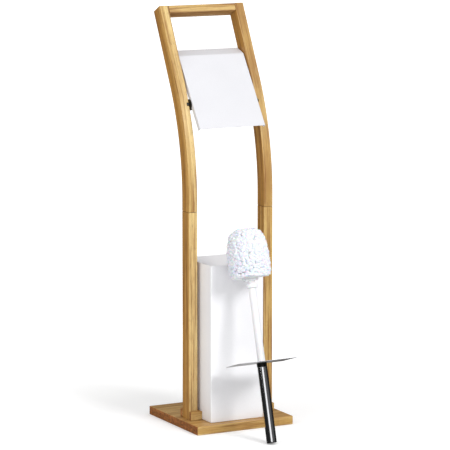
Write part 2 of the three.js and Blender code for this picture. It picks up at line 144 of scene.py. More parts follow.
def make_camera():
    """A long lens far off to the left, a little above the stand's middle."""
    lens = bpy.data.cameras.new("camera")
    lens.lens = 218.3
    lens.sensor_width = 36
    lens.clip_end = 50
    camera = bpy.data.objects.new("camera", lens)
    bpy.context.scene.collection.objects.link(camera)
    middle = (0.00985, 0, 0.38707)
    camera.location = around(-27.778, 9.009, 5.3278, middle)
    aim(camera, middle)
    bpy.context.scene.camera = camera


def make_softbox(name, azimuth, elevation, distance, size, watts):
    data = bpy.data.lights.new(name, "AREA")
    data.shape = "RECTANGLE"
    data.size, data.size_y = size
    data.energy = watts
    lamp = bpy.data.objects.new(name, data)
    bpy.context.scene.collection.objects.link(lamp)
    lamp.location = around(azimuth, elevation, distance, (0, 0, 0.4))
    aim(lamp, (0, 0, 0.4))


def linear(hex_colour):
    """An sRGB hex colour as linear red, green, blue and alpha."""
    parts = [int(hex_colour[i:i + 2], 16) / 255 for i in (0, 2, 4)]
    return [p / 12.92 if p <= 0.04045 else ((p + 0.055) / 1.055) ** 2.4 for p in parts] + [1.0]


def node(tree, kind, values=None, links=None, **settings):
    """Adds a node with its settings, its sockets' values and the links into it."""
    made = tree.nodes.new(kind)
    for key, value in settings.items():
        setattr(made, key, value)
    for key, value in (values or {}).items():
        made.inputs[key].default_value = value
    for key, source in (links or {}).items():
        tree.links.new(source, made.inputs[key])
    return made


def maths(tree, operation, *terms):
    """The result of a maths node, whose terms are sockets or plain numbers."""
    made = node(tree, "ShaderNodeMath", operation=operation)
    for place, term in enumerate(terms):
        if isinstance(term, float):
            made.inputs[place].default_value = term
        else:
            tree.links.new(term, made.inputs[place])
    return made.outputs[0]


def ramp(tree, value, start=0.0, end=1.0, low=0.0, high=1.0):
    """A value carried from one range over to another, and held at the ends."""
    return node(tree, "ShaderNodeMapRange", {
        "From Min": start, "From Max": end, "To Min": low, "To Max": high},
        {"Value": value}).outputs[0]


def make_world():
    """White to the eye and bright to plain surfaces, but dark round the horizon in mirrors."""
    world = bpy.data.worlds.new("studio")
    bpy.context.scene.world = world
    world.use_nodes = True
    tree = world.node_tree
    tree.nodes.clear()
    way = node(tree, "ShaderNodeTexCoord")
    height = node(tree, "ShaderNodeSeparateXYZ", links={0: way.outputs["Generated"]})
    path = node(tree, "ShaderNodeLightPath")

    def backdrop(horizon, ceiling):
        rise = ramp(tree, height.outputs["Z"], 0.1, 0.85, horizon, ceiling)
        return node(tree, "ShaderNodeBackground", links={"Strength": rise}).outputs[0]

    white = node(tree, "ShaderNodeBackground", {"Color": (1, 1, 1, 1), "Strength": 1.0})
    lit = node(tree, "ShaderNodeMixShader", links={
        0: path.outputs["Is Glossy Ray"], 1: backdrop(0.38, 0.95), 2: backdrop(0.02, 0.6)})
    seen = node(tree, "ShaderNodeMixShader", links={
        0: path.outputs["Is Camera Ray"], 1: lit.outputs[0], 2: white.outputs[0]})
    node(tree, "ShaderNodeOutputWorld", links={0: seen.outputs[0]})


def make_floor():
    bpy.ops.object.select_all(action="DESELECT")
    bpy.ops.mesh.primitive_plane_add(size=30, location=(0, 0, cad_bounds[0][2]))
    floor = bpy.context.object
    floor.name = "floor"
    paper = bpy.data.materials.new("white_paper_sweep")
    paper.use_nodes = True
    tree = paper.node_tree
    tree.nodes.clear()
    matt = node(tree, "ShaderNodeBsdfDiffuse", {"Color": (0.86, 0.86, 0.86, 1)})
    place = node(tree, "ShaderNodeTexCoord")
    away = node(tree, "ShaderNodeVectorMath", links={0: place.outputs["Object"]},
                operation="LENGTH")
    rise = ramp(tree, away.outputs["Value"], 0.25, 0.9, 0.22, 0.75)
    glow = node(tree, "ShaderNodeEmission", {"Color": (1, 1, 1, 1)}, {"Strength": rise})
    path = node(tree, "ShaderNodeLightPath")
    none = node(tree, "ShaderNodeEmission", {"Strength": 0.0})
    lit = node(tree, "ShaderNodeMixShader", links={
        0: path.outputs["Is Camera Ray"], 1: none.outputs[0], 2: glow.outputs[0]})
    both = node(tree, "ShaderNodeAddShader", links={0: matt.outputs[0], 1: lit.outputs[0]})
    dim = node(tree, "ShaderNodeEmission", {"Color": (1, 1, 1, 1), "Strength": 0.02})
    mirrored = node(tree, "ShaderNodeMixShader", links={
        0: path.outputs["Is Glossy Ray"], 1: both.outputs[0], 2: dim.outputs[0]})
    node(tree, "ShaderNodeOutputMaterial", links={0: mirrored.outputs[0]})
    floor.data.materials.append(paper)


bpy.context.scene.view_settings.view_transform = "Standard"
make_camera()
make_world()
make_floor()
make_softbox("key", 14, 29, 3.0, (0.9, 0.7), 44)
make_softbox("front_strip", -22, 20, 3.0, (1.8, 2.2), 13)
make_softbox("left_card", -80, 22, 2.6, (1.2, 2.0), 14)

# ---- materials ------------------------------------------------------------------------------


def new_finish(name, **values):
    """A material with its principled shader, whose plain sockets are set by name."""
    material = bpy.data.materials.new(name)
    material.use_nodes = True
    shader = material.node_tree.nodes["Principled BSDF"]
    for key, value in values.items():
        shader.inputs[key.replace("_", " ")].default_value = value
    return material, material.node_tree, shader


def surface(tree, shader, colour, roughness, relief, strength, depth):
    """Gives a shader its patterns of colour, roughness and relief."""
    bump = node(tree, "ShaderNodeBump", {"Strength": strength, "Distance": depth},
                {"Height": relief})
    tree.links.new(colour, shader.inputs["Base Color"])
    tree.links.new(roughness, shader.inputs["Roughness"])
    tree.links.new(bump.outputs[0], shader.inputs["Normal"])


def bamboo_laminate(name, turn=(0, 0, 0), shift=(0, 0, 0), broad="eccfa2", ends="d9a58f",
                    bent=False):
    """Bamboo laminate: split canes planed to strips, glued side by side and lacquered satin.

    The grain runs along the pattern's X after the turn, and its strips lie side by side along
    Y. Faces square to Z show the canes' broad sides, which are browner, and faces square to X
    show end grain. The browning of faces square to Z is partly painted shade: it is set dark
    enough that these faces come out as dark as shaded side faces. Each strip has a darker band
    where the cane had a joint. In a bent piece the pattern follows the bend, by its attribute
    "grain"."""
    strip_width = 6.3 * MM
    strip_depth = 9.3 * MM
    cane_joint = 260 * MM
    material, tree, shader = new_finish(name, Coat_Weight=0.3, Coat_Roughness=0.22, IOR=1.45)
    place = node(tree, "ShaderNodeTexCoord")
    source = place.outputs["Object"]
    if bent:
        source = node(tree, "ShaderNodeAttribute", attribute_name="grain").outputs["Vector"]
    grain = node(tree, "ShaderNodeMapping", {"Rotation": turn, "Location": shift},
                 {"Vector": source})
    # a slow waver so that the strips aren't ruled lines
    waver = node(tree, "ShaderNodeTexNoise", {"Scale": 9.0, "Detail": 1.0},
                 {"Vector": grain.outputs[0]})
    wavy = node(tree, "ShaderNodeVectorMath", {1: (0, 0.0016, 0.0016)},
                {0: waver.outputs["Color"], 2: grain.outputs[0]}, operation="MULTIPLY_ADD")
    parts = node(tree, "ShaderNodeSeparateXYZ", links={0: wavy.outputs[0]})
    across = maths(tree, "DIVIDE", parts.outputs["Y"], strip_width)
    deep = maths(tree, "DIVIDE", parts.outputs["Z"], strip_depth)
    strip = node(tree, "ShaderNodeCombineXYZ", links={
        "X": maths(tree, "FLOOR", across), "Y": maths(tree, "FLOOR", deep)})
    chance = node(tree, "ShaderNodeTexWhiteNoise", links={"Vector": strip.outputs[0]})

    def stretched(scale, detail):
        """Noise stretched along the grain; the scale is in waves per metre each way."""
        to = node(tree, "ShaderNodeVectorMath", {1: scale}, {0: wavy.outputs[0]},
                  operation="MULTIPLY")
        return node(tree, "ShaderNodeTexNoise", {"Scale": 1.0, "Detail": detail, "Roughness": 0.6},
                    {"Vector": to.outputs[0]}).outputs["Fac"]

    fibres = stretched((33, 1250, 1250), 4.0)
    dashes = stretched((85, 900, 900), 2.0)
    streaks = stretched((7, 210, 210), 3.0)
    clouds = stretched((14, 30, 30), 3.0)
    mottle = stretched((30, 130, 260), 3.0)
    # cane joints, at a chance place along each strip
    along = maths(tree, "MULTIPLY", parts.outputs["X"], 1 / cane_joint)
    cycle = maths(tree, "FRACT", maths(tree, "ADD", along, chance.outputs["Value"]))
    gap = maths(tree, "ABSOLUTE", maths(tree, "SUBTRACT", cycle, 0.5))
    joint = ramp(tree, gap, 0.003, 0.014, 1.0, 0.0)
    # glue lines between strips
    edge = maths(tree, "FRACT", across)
    side = maths(tree, "ABSOLUTE", maths(tree, "SUBTRACT", edge, 0.5))
    # which way the face was cut, which also places the painted shade on faces square to Z
    facing = node(tree, "ShaderNodeMapping", {"Rotation": turn},
                  {"Vector": place.outputs["Normal"]}, vector_type="VECTOR")
    plain = node(tree, "ShaderNodeVectorMath", links={0: facing.outputs[0]}, operation="ABSOLUTE")
    cut = node(tree, "ShaderNodeSeparateXYZ", links={0: plain.outputs[0]})
    ragged = maths(tree, "MULTIPLY", mottle, cut.outputs["X"])
    tone = node(tree, "ShaderNodeMixRGB", {"Color1": linear("ecd394"), "Color2": linear("c9a45c")},
                {"Fac": chance.outputs["Value"]})
    steps = [
        # faces square to Z: the broad sides' browner tone, with painted shade that darkens these
        # faces
        (cut.outputs["Z"], 0.45, 0.85, 1.0, broad, "MULTIPLY"),
        (cut.outputs["X"], 0.5, 0.8, 1.0, ends, "MULTIPLY"),
        (ragged, 0.46, 0.6, 0.75, "54301d", "MIX"),
        (clouds, 0.45, 0.7, 0.4, "a8763c", "MIX"),
        (streaks, 0.48, 0.64, 0.85, "8f5f2a", "MIX"),
        (fibres, 0.45, 0.75, 0.5, "a06c35", "MIX"),
        (dashes, 0.6, 0.74, 0.6, "6f4220", "MIX"),
        (joint, 0.0, 1.0, 0.12, "8a5a2b", "MIX"),
        (side, 0.44, 0.49, 0.45, "8c5c2b", "MIX"),
    ]
    colour = tone.outputs[0]
    for mask, low, high, amount, dark, blend in steps:
        part = ramp(tree, mask, low, high, high=amount)
        mix = node(tree, "ShaderNodeMixRGB", {"Color2": linear(dark)},
                   {"Fac": part, "Color1": colour}, blend_type=blend)
        colour = mix.outputs[0]
    rough = ramp(tree, fibres, low=0.42, high=0.6)
    surface(tree, shader, colour, rough, fibres, 0.25, 0.15 * MM)
    return material


def speckled(name, light, dark, grain, roughness, bump_depth, **values):
    """A finish with a fine even grain that shows in its tone, gloss and surface."""
    material, tree, shader = new_finish(name, **values)
    place = node(tree, "ShaderNodeTexCoord")
    fine = node(tree, "ShaderNodeTexNoise", {"Scale": 1 / grain, "Detail": 2.0},
                {"Vector": place.outputs["Object"]})
    broad = node(tree, "ShaderNodeTexNoise", {"Scale": 11.0, "Detail": 2.0},
                 {"Vector": place.outputs["Object"]})
    both = maths(tree, "MULTIPLY", fine.outputs["Fac"], broad.outputs["Fac"])
    mix = node(tree, "ShaderNodeMixRGB", {"Color1": linear(dark), "Color2": linear(light)},
               {"Fac": ramp(tree, both, 0.12, 0.4)})
    gloss = ramp(tree, broad.outputs["Fac"], low=roughness[0], high=roughness[1])
    surface(tree, shader, mix.outputs[0], gloss, fine.outputs["Fac"], 0.3, bump_depth)
    return material


def drawn_metal(name, light, dark, roughness, turn, streak, relief=0.08, metallic=1.0):
    """Metal with fine draw or grinding marks along the pattern's X after the turn."""
    material, tree, shader = new_finish(name, Metallic=metallic)
    place = node(tree, "ShaderNodeTexCoord")
    line = node(tree, "ShaderNodeMapping", {"Rotation": turn,
                                            "Scale": (1 / (40 * streak), 1 / streak, 1 / streak)},
                {"Vector": place.outputs["Object"]})
    marks = node(tree, "ShaderNodeTexNoise", {"Scale": 1.0, "Detail": 3.0},
                 {"Vector": line.outputs[0]})
    mix = node(tree, "ShaderNodeMixRGB", {"Color1": linear(light), "Color2": linear(dark)},
               {"Fac": marks.outputs["Fac"]})
    gloss = ramp(tree, marks.outputs["Fac"], low=roughness[0], high=roughness[1])
    surface(tree, shader, mix.outputs[0], gloss, marks.outputs["Fac"], relief, 0.02 * MM)
    return material


upright = (0, math.radians(90), 0)
# Powder-coated steel: dry paint baked on, a very fine orange peel and a soft sheen.
powder_coat = speckled("powder_coated_steel", "f8f8fa", "f2f2f5", 1.3 * MM, (0.38, 0.5),
                       0.05 * MM, IOR=1.5)
# The cover's coat is greyer than the container's: painted shade, so that the cover, which faces up
# into the light, comes out no brighter than the container's front.
cover_coat_painted_shade = speckled("powder_coated_steel_cover_greyed_as_shade", "dedee2", "d9d9dd", 1.3 * MM, (0.4, 0.52),
                      0.05 * MM, IOR=1.5)
# Chrome-plated steel: polished before plating, so only faint draw marks are left.
chrome = drawn_metal("chrome_plated_steel", "ececee", "dfe0e3", (0.04, 0.08), upright, 0.5 * MM,
                     relief=0.01)
# Satin stainless steel sheet: ground one way, so it is grey and softly streaked.
stainless = drawn_metal("satin_stainless_steel", "cdced1", "b9babe", (0.4, 0.5), (0, 0, 0),
                        0.7 * MM, metallic=0.6)
# Zinc-plated steel: bluish grey and uneven.
zinc = drawn_metal("zinc_plated_steel", "bfc2c6", "9a9ca1", (0.3, 0.45), (0, 0, 0), 0.8 * MM)
# Moulded polypropylene: white, slightly waxy and a little see-through.
white_plastic = speckled("moulded_polypropylene_white", "f3f3f4", "ececee", 2 * MM, (0.3, 0.4),
                         0.03 * MM, Subsurface_Weight=0.15, Subsurface_Scale=2 * MM, IOR=1.49)
# Moulded ABS: black with a fine spark-eroded grain.
black_plastic = speckled("moulded_abs_black", "100f0f", "080808", 0.8 * MM, (0.35, 0.5),
                         0.08 * MM, IOR=1.53)
# Nylon filament: white with a cold cast, smooth and light-passing.
nylon = speckled("nylon_filament", "f6f6fb", "eeeef6", 1.5 * MM, (0.4, 0.5), 0.02 * MM,
                 Subsurface_Weight=0.3, Subsurface_Scale=1.5 * MM, IOR=1.53)
# Turned dowels, cut from the same board as the frame.
dowel_wood = bamboo_laminate("turned_dowel_wood")

# ---- modelling tools ------------------------------------------------------------------------


def edit(piece):
    """Starts editing a piece with nothing selected in it."""
    if bpy.context.mode != "OBJECT":
        bpy.ops.object.mode_set(mode="OBJECT")
    bpy.ops.object.select_all(action="DESELECT")
    piece.select_set(True)
    bpy.context.view_layer.objects.active = piece
    bpy.ops.object.mode_set(mode="EDIT")
    bpy.ops.mesh.select_all(action="DESELECT")


def done():
    bpy.ops.object.mode_set(mode="OBJECT")


def pick(piece, kind, test):
    """Selects only the vertices, edges or faces that pass a test, in edit mode."""
    bpy.ops.mesh.select_mode(type=kind)
    bpy.ops.mesh.select_all(action="DESELECT")
    mesh = bmesh.from_edit_mesh(piece.data)
    for item in {"VERT": mesh.verts, "EDGE": mesh.edges, "FACE": mesh.faces}[kind]:
        if test(item):
            item.select_set(True)
    bmesh.update_edit_mesh(piece.data)


def block(name, low, high):
    """A block between two corners, its place in its mesh."""
    bpy.ops.object.select_all(action="DESELECT")
    low, high = Vector(low), Vector(high)
    bpy.ops.mesh.primitive_cube_add(size=1, location=(low + high) / 2, scale=high - low)
    piece = bpy.context.object
    piece.name = piece.data.name = name
    bpy.ops.object.transform_apply()
    return piece


def outward(piece):
    edit(piece)
    bpy.ops.mesh.select_all(action="SELECT")
    bpy.ops.mesh.remove_doubles(threshold=speck)
    bpy.ops.mesh.normals_make_consistent(inside=False)
    done()


def turned(name, profile, sides=48, open_ends=False):
    """A turned piece: a circle extruded from ring to ring of a profile of (radius, height).

    With open ends the last ring is bridged to the first, which makes a tube or a ring."""
    bpy.ops.object.select_all(action="DESELECT")
    radius, height = profile[0]
    bpy.ops.mesh.primitive_circle_add(vertices=sides, radius=radius, location=(0, 0, height),
                                      fill_type="NOTHING" if open_ends else "NGON")
    piece = bpy.context.object
    piece.name = piece.data.name = name
    bpy.ops.object.transform_apply()
    edit(piece)
    bpy.ops.mesh.select_all(action="SELECT")
    extrude = bpy.ops.mesh.extrude_edges_move if open_ends else bpy.ops.mesh.extrude_region_move
    for wide, high in profile[1:]:
        extrude(TRANSFORM_OT_translate={"value": (0, 0, high - height)})
        share = wide / radius
        bpy.ops.transform.resize(value=(share, share, 1), center_override=(0, 0, high))
        radius, height = wide, high
    if open_ends:
        ends = (profile[0], profile[-1])

        def on_end(edge):
            return all(any(abs(v.co.z - z) < speck and abs(v.co.xy.length - r) < speck
                           for r, z in ends) for v in edge.verts) and len(edge.link_faces) == 1

        pick(piece, "EDGE", on_end)
        bpy.ops.mesh.bridge_edge_loops()
    done()
    outward(piece)
    return piece


def ease(piece, width, segments, test):
    """Rounds the sharp edges that pass a test."""
    edit(piece)
    pick(piece, "EDGE", lambda edge: edge.calc_face_angle(0) > sharp and test(edge))
    bpy.ops.mesh.bevel(offset=width, segments=segments, affect="EDGES", clamp_overlap=True)
    done()


def change(piece, kind, **settings):
    """Adds a modifier and applies it."""
    modifier = piece.modifiers.new(kind.lower(), kind)
    for key, value in settings.items():
        setattr(modifier, key, value)
    bpy.ops.object.select_all(action="DESELECT")
    piece.select_set(True)
    bpy.context.view_layer.objects.active = piece
    bpy.ops.object.modifier_apply(modifier=modifier.name)


def cut(piece, cutter):
    """Cuts one piece's shape out of another and throws the cutter away."""
    change(piece, "BOOLEAN", object=cutter, operation="DIFFERENCE")
    bpy.data.objects.remove(cutter)


def lay(piece, matrix):
    """Moves a piece's mesh, so that its object stays at the origin."""
    piece.data.transform(matrix)


def hand_over(piece, body, material, stands_for, smooth=35, flat_faces=True):
    """Gives a finished piece its finish and its body, and hides the CAD node that it stands for.

    With flat faces, the shading of large faces isn't bent by the small ones round them."""
    bpy.ops.object.select_all(action="DESELECT")
    piece.select_set(True)
    bpy.context.view_layer.objects.active = piece
    bpy.ops.object.shade_smooth_by_angle(angle=math.radians(smooth))
    if flat_faces:
        change(piece, "WEIGHTED_NORMAL", keep_sharp=True)
    piece.data.materials.clear()
    piece.data.materials.append(material)
    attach(piece, body)
    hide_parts(stands_for)


def keep(name, material):
    """Gives a CAD node that stays its finish."""
    mesh = frame["nodes"][name].data
    mesh.materials.clear()
    mesh.materials.append(material)


# ---- wooden frame ---------------------------------------------------------------------------

shifts = random.Random(5)
dark_end = "6e5140"                   # end grain that has soaked up glue or lacquer


def own_bamboo(name, turn=(0, 0, 0), **look):
    """Bamboo for one piece, cut from its own stretch of board."""
    shift = [shifts.uniform(0.3, 2.0) for _ in range(3)]
    return bamboo_laminate(f"bamboo_laminate_{name}", turn, shift, **look)


def make_base_board():
    low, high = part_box("base_board")
    board = block("bamboo_base_board", low, high)
    ease(board, 1.6 * MM, 3, lambda edge: True)
    finish = own_bamboo("base", broad="f2e2cf", ends="cf9379")
    hand_over(board, "stand", finish, "base_board")


def make_foot_block(side):
    """A block notched from its outer side to take the post."""
    low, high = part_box(f"{side}_foot_block")
    below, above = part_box(f"{side}_lower_post")
    out = 1 if side == "right" else -1
    piece = block(f"{side}_bamboo_foot_block", low, high)
    inner = below.x if out > 0 else above.x
    past_the_block = 30 * MM
    from_x, to_x = sorted((inner - out * room, inner + out * past_the_block))
    cutter = block("notch", (from_x, below.y - room, low.z - room),
                   (to_x, above.y + room, high.z + room))
    cut(piece, cutter)
    ease(piece, 0.8 * MM, 2, lambda edge: True)
    hand_over(piece, "stand", own_bamboo(f"{side}_foot"), f"{side}_foot_block")


def on_level(edge, height):
    return all(abs(v.co.z - height) < hair for v in edge.verts)


def make_lower_post(side):
    low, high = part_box(f"{side}_lower_post")
    post = block(f"{side}_bamboo_lower_post", low, high)
    ease(post, 1.8 * MM, 3, lambda edge: not on_level(edge, low.z) and not on_level(edge, high.z))
    ease(post, 0.8 * MM, 2, lambda edge: on_level(edge, high.z))
    finish = own_bamboo(f"{side}_lower_post", upright, ends=dark_end)
    hand_over(post, "stand", finish, f"{side}_lower_post")


def straightened(spot, centre):
    """Where a spot of a bent post would be if the post were straight."""
    turn = math.atan2(spot.z - centre.z, centre.y - spot.y)
    if turn <= 0:
        return spot
    reach = centre.y - spot.y
    if turn < lean:
        radius = math.hypot(reach, spot.z - centre.z)
        return Vector((spot.x, centre.y - radius, centre.z + bend_radius * turn))
    out = Vector((0, -math.cos(lean), math.sin(lean)))
    up = Vector((0, math.sin(lean), math.cos(lean)))
    offset = spot - centre
    return Vector((spot.x, centre.y - offset.dot(out),
                   centre.z + bend_radius * lean + offset.dot(up)))


def make_upper_post(side):
    """A post that stands straight on its joint, bends back by the lean and runs on straight."""
    low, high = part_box(f"{side}_upper_post")
    below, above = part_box(f"{side}_lower_post")
    bend_height = above.z + straight_above_joint
    post = block(f"{side}_bamboo_upper_post", (low.x, below.y, low.z),
                 (high.x, above.y, bend_height))
    edit(post)
    pick(post, "FACE", lambda face: face.normal.z > 0.9)
    bpy.ops.mesh.delete(type="ONLY_FACE")
    pick(post, "EDGE", lambda edge: on_level(edge, bend_height))
    centre = (low.x, below.y + bend_radius, bend_height)
    bpy.ops.mesh.spin(steps=28, angle=lean, center=centre, axis=(1, 0, 0))
    bpy.ops.mesh.extrude_edges_move(TRANSFORM_OT_translate={
        "value": (0, top_length * math.sin(lean), top_length * math.cos(lean))})
    bpy.ops.mesh.edge_face_add()
    done()
    outward(post)
    up = Vector((0, math.sin(lean), math.cos(lean)))
    end = max(v.co.dot(up) for v in post.data.vertices)

    def on_end(edge):
        return all(abs(v.co.dot(up) - end) < hair for v in edge.verts)

    ease(post, 1.8 * MM, 3, lambda edge: not on_level(edge, low.z) and not on_end(edge))
    ease(post, 0.9 * MM, 2, on_end)
    ease(post, 0.8 * MM, 2, lambda edge: on_level(edge, low.z))
    grain = post.data.attributes.new("grain", "FLOAT_VECTOR", "POINT")
    for vertex, spot in zip(post.data.vertices, grain.data):
        spot.vector = straightened(vertex.co, Vector(centre))
    finish = own_bamboo(f"{side}_upper_post", upright, bent=True)
    hand_over(post, "stand", finish, f"{side}_upper_post")


def make_handle_bar():
    low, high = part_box("handle_bar")
    below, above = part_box("left_lower_post")
    depth = above.y - below.y
    front_top = Vector((0, high.y - depth * math.cos(lean), high.z))
    bar = block("bamboo_handle_bar", (low.x, 0, -bar_height), (high.x, depth, 0))
    ease(bar, 2.4 * MM, 4, lambda edge: abs((edge.verts[0].co - edge.verts[1].co).x) > 50 * MM)
    ease(bar, 0.5 * MM, 1, lambda edge: abs((edge.verts[0].co - edge.verts[1].co).x) < 1 * MM)
    lay(bar, Matrix.Translation(front_top) @ Matrix.Rotation(-lean, 4, "X"))
    finish = own_bamboo("handle_bar", (lean, 0, 0), broad="dccad0", ends=dark_end)
    hand_over(bar, "stand", finish, "handle_bar")


make_base_board()
for hand in ("left", "right"):
    make_foot_block(hand)
    make_lower_post(hand)
    make_upper_post(hand)
make_handle_bar()

# ---- container and cup ----------------------------------------------------------------------


def make_open_box(name, body, material, stands_for, wall, rim):
    """A box open at the top: a block without its lid, its upright edges rounded, then given a
    wall on the inside."""
    low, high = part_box(stands_for)
    corner = 2.5 * MM
    box = block(name, low, high)
    edit(box)
    pick(box, "FACE", lambda face: face.normal.z > 0.9)
    bpy.ops.mesh.delete(type="ONLY_FACE")
    pick(box, "EDGE", lambda edge: abs(edge.verts[0].co.z - edge.verts[1].co.z) > 1 * MM)
    bpy.ops.mesh.bevel(offset=corner, segments=5, affect="EDGES")
    pick(box, "EDGE", lambda edge: on_level(edge, low.z))
    bpy.ops.mesh.bevel(offset=1.5 * MM, segments=3, affect="EDGES")
    done()
    outward(box)
    change(box, "SOLIDIFY", thickness=wall, offset=-1, use_even_offset=True)
    ease(box, rim, 2, lambda edge: on_level(edge, high.z))
    hand_over(box, body, material, stands_for)


make_open_box("steel_container", "container", powder_coat, "container",
              wall=1.2 * MM, rim=0.35 * MM)
make_open_box("plastic_drip_cup", "cup", white_plastic, "drip_cup",
              wall=1.5 * MM, rim=0.5 * MM)

# ---- roll cover -----------------------------------------------------------------------------

joints = {joint["name"]: joint for joint in frame["joints"]}
pivot = Vector(joints["cover_hinge"]["pos_m"])
roller_axis = Vector(joints["roller_spin"]["pos_m"])
post_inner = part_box("right_lower_post")[0].x
cover_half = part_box("roll_cover")[1].x
post_low, post_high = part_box("left_lower_post")
post_depth = post_high.y - post_low.y
post_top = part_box("left_upper_post")[1]
along = Vector((0, math.sin(lean), math.cos(lean)))     # up the posts' tops
across = Vector((0, math.cos(lean), -math.sin(lean)))   # through them, to the back
top_front = Vector((0, post_top.y - post_depth * math.cos(lean), post_top.z))
fold = top_front - along * cover_drop + across * cover_setback


def sideways(place, side):
    """Turns a piece made along +Z to point out of the stand's right or left side."""
    quarter = math.radians(90 if side == "right" else -90)
    return Matrix.Translation(place) @ Matrix.Rotation(quarter, 4, "Y")


def shift_corner(piece, test, by):
    """Moves the vertices that pass a test, in edit mode."""
    pick(piece, "VERT", test)
    bpy.ops.transform.translate(value=by)


def make_cover():
    """The cover is modelled flat on the XY plane, with Y up its plate, and then stood up."""
    bend = math.radians(90) - plate_lean - strip_rise
    bpy.ops.object.select_all(action="DESELECT")
    bpy.ops.mesh.primitive_plane_add(size=1, location=(0, -plate_length / 2, 0))
    cover = bpy.context.object
    cover.name = cover.data.name = "steel_roll_cover"
    cover.scale = (2 * cover_half, plate_length, 1)
    bpy.ops.object.transform_apply()
    edit(cover)
    pick(cover, "EDGE", lambda edge: all(abs(v.co.y) < speck for v in edge.verts))
    strip = Vector((0, strip_length * math.cos(bend), -strip_length * math.sin(bend)))
    bpy.ops.mesh.extrude_edges_move(TRANSFORM_OT_translate={"value": strip})
    pick(cover, "EDGE", lambda edge: abs(edge.verts[0].co.x - edge.verts[1].co.x) < speck)
    bpy.ops.mesh.extrude_edges_move(TRANSFORM_OT_translate={"value": (0, 0, -flange_depth)})
    down = Vector((0, 0, -flange_depth))
    ear = Vector((0, -math.sin(bend), -math.cos(bend))) * ear_depth
    shift_corner(cover, lambda v: abs(v.co.y) < speck and abs(v.co.z - down.z) < speck,
                 (0, -ear_length, 0))
    shift_corner(cover, lambda v: (v.co.yz - (strip + down).yz).length < speck, ear - down)
    pick(cover, "VERT", lambda v: v.co.z < -1 * MM and (
        v.co.y < -plate_length + speck or (v.co.yz - (strip + ear).yz).length < speck))
    bpy.ops.mesh.bevel(offset=cover_corner, segments=4, affect="VERTICES")
    pick(cover, "EDGE", lambda edge: all(abs(v.co.y) < speck and abs(v.co.z) < speck
                                         for v in edge.verts))
    bpy.ops.mesh.bevel(offset=fold_radius * math.tan(bend / 2), segments=5, affect="EDGES")
    pick(cover, "EDGE", lambda edge: len(edge.link_faces) == 2
         and edge.calc_face_angle(0) > nearly_square)
    bpy.ops.mesh.bevel(offset=flange_bend, segments=3, affect="EDGES")
    done()
    outward(cover)
    plate_middle = Vector((0, -plate_length / 2, 0))
    middle = min(cover.data.polygons, key=lambda p: (p.center - plate_middle).length)
    if middle.normal.z < 0:
        cover.data.flip_normals()
    change(cover, "SOLIDIFY", thickness=sheet, offset=-1, use_even_offset=True)
    stand_up = Matrix((
        (1, 0, 0, 0),
        (0, math.sin(plate_lean), -math.cos(plate_lean), fold.y),
        (0, math.cos(plate_lean), math.sin(plate_lean), fold.z),
        (0, 0, 0, 1)))
    lay(cover, stand_up)
    drill = turned("drill", [(pivot_hole, -100 * MM), (pivot_hole, 100 * MM)], sides=24)
    lay(drill, sideways(pivot, "right"))
    cut(cover, drill)
    hand_over(cover, "cover", cover_coat_painted_shade, "roll_cover", smooth=25)


def make_cover_screw(side):
    """A pan-head screw with a cross recess, driven outwards through the cover's ear."""
    low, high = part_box(f"{side}_cover_screw")
    head_from, tip = sorted((abs(low.x), abs(high.x)))
    wide = 3.4 * MM
    height = 2 * MM
    point = 2 * MM
    profile = [(0.75 * wide, head_from), (0.9 * wide, head_from + 0.15 * height),
               (wide, head_from + 0.45 * height), (wide, head_from + height),
               (pivot_radius, head_from + height), (pivot_radius, tip - point), (0.3 * MM, tip)]
    screw = turned(f"{side}_zinc_cover_screw", profile, sides=32)
    for turn in (0, 90):
        recess = block("recess", (-0.4 * MM, -1.7 * MM, head_from - 1 * MM),
                       (0.4 * MM, 1.7 * MM, head_from + 1.1 * MM))
        lay(recess, Matrix.Rotation(math.radians(turn), 4, "Z"))
        cut(screw, recess)
    lay(screw, sideways(pivot, side))
    hand_over(screw, "stand", zinc, f"{side}_cover_screw")


def make_cover_washer(side):
    outer = 5 * MM
    soft = 0.25 * MM
    near, far = cover_half + room, post_inner - room
    washer = turned(f"{side}_nylon_washer", [
        (pivot_hole, near), (outer - soft, near), (outer, near + soft), (outer, far - soft),
        (outer - soft, far), (pivot_hole, far)], sides=32, open_ends=True)
    lay(washer, sideways(pivot, side))
    hand_over(washer, "stand", white_plastic, f"{side}_cover_washer")


# ---- roller ---------------------------------------------------------------------------------


def rounded(corners, radius, steps=3):
    """A profile whose inner corners are rounded by arcs, as far as their sides allow."""
    points = [Vector(c) for c in corners]
    out = [points[0]]
    for before, corner, after in zip(points, points[1:], points[2:]):
        to_before, to_after = before - corner, after - corner
        reach = min(radius, 0.45 * to_before.length, 0.45 * to_after.length)
        start = corner + to_before.normalized() * reach
        end = corner + to_after.normalized() * reach
        for step in range(steps + 1):
            t = step / steps
            out.append(start * (1 - t) ** 2 + corner * 2 * t * (1 - t) + end * t ** 2)
    out.append(points[-1])
    return [tuple(p) for p in out]


def tube_profile(radius, wall, start, end, soft):
    """The profile of an open tube, with eased rims."""
    return rounded([(radius - wall / 2, start), (radius, start), (radius, end),
                    (radius - wall, end), (radius - wall, start), (radius - wall / 2, start)],
                   soft, 2)[:-1]


def roller_piece(name, profile, side, body, material, stands_for, open_ends=False):
    """A piece turned on the roller's axis, with its profile measured from the stand's middle."""
    piece = turned(name, profile, open_ends=open_ends)
    lay(piece, sideways(roller_axis, side))
    hand_over(piece, body, material, stands_for)


def make_roller_tube(which, radius, body):
    low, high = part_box(f"roller_{which}_tube")
    profile = tube_profile(radius, roller_wall, low.x, high.x, 0.4 * MM)
    roller_piece(f"chrome_{which}_tube", profile, "right", body, chrome,
                 f"roller_{which}_tube", open_ends=True)


